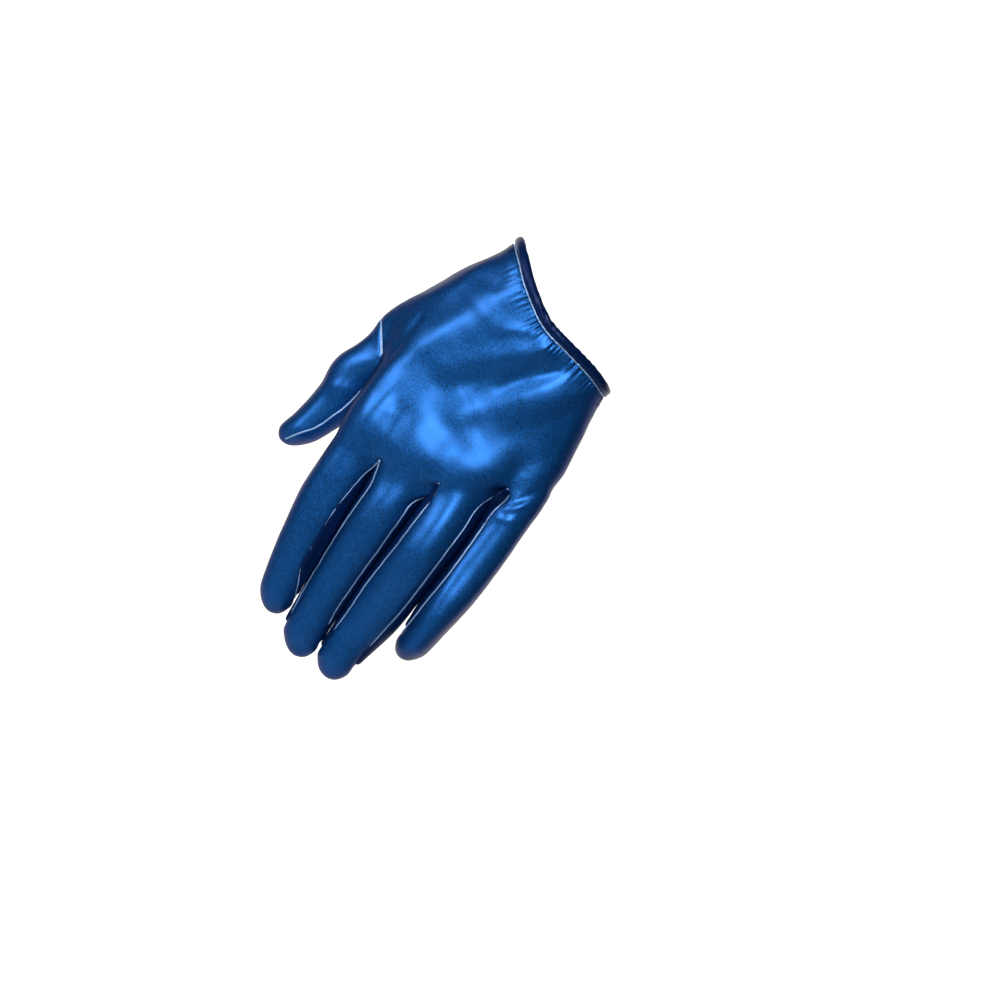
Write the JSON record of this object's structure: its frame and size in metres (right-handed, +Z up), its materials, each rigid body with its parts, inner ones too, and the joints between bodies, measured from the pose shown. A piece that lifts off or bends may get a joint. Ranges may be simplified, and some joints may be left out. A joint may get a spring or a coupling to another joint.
{
  "type": "half palm dance glove",
  "caption": "Short satin dress glove for a left hand, in worn form, with a slanting bound opening, slit fingers with side strips, and a set-in thumb.",
  "frame": {"origin": "middle of the wrist opening, level with the middle of its slanting rim", "axes": "+Z up out of the wrist opening, fingers hanging along -Z; -Y out of the back of the hand; -X to the thumb"},
  "size_m": [0.1016, 0.0434, 0.1799],
  "materials": {
    "satin": "royal blue stretch satin with a soft sheen",
    "satin_shaded": "the same satin, rolled or turned away from the light"
  },
  "bodies": {
    "root": {"trank": "satin", "fourchette_index_middle": "satin_shaded", "fourchette_middle_ring": "satin_shaded", "fourchette_ring_little": "satin_shaded", "thumb": "satin", "wrist_binding": "satin_shaded"}
  },
  "joints": []
}
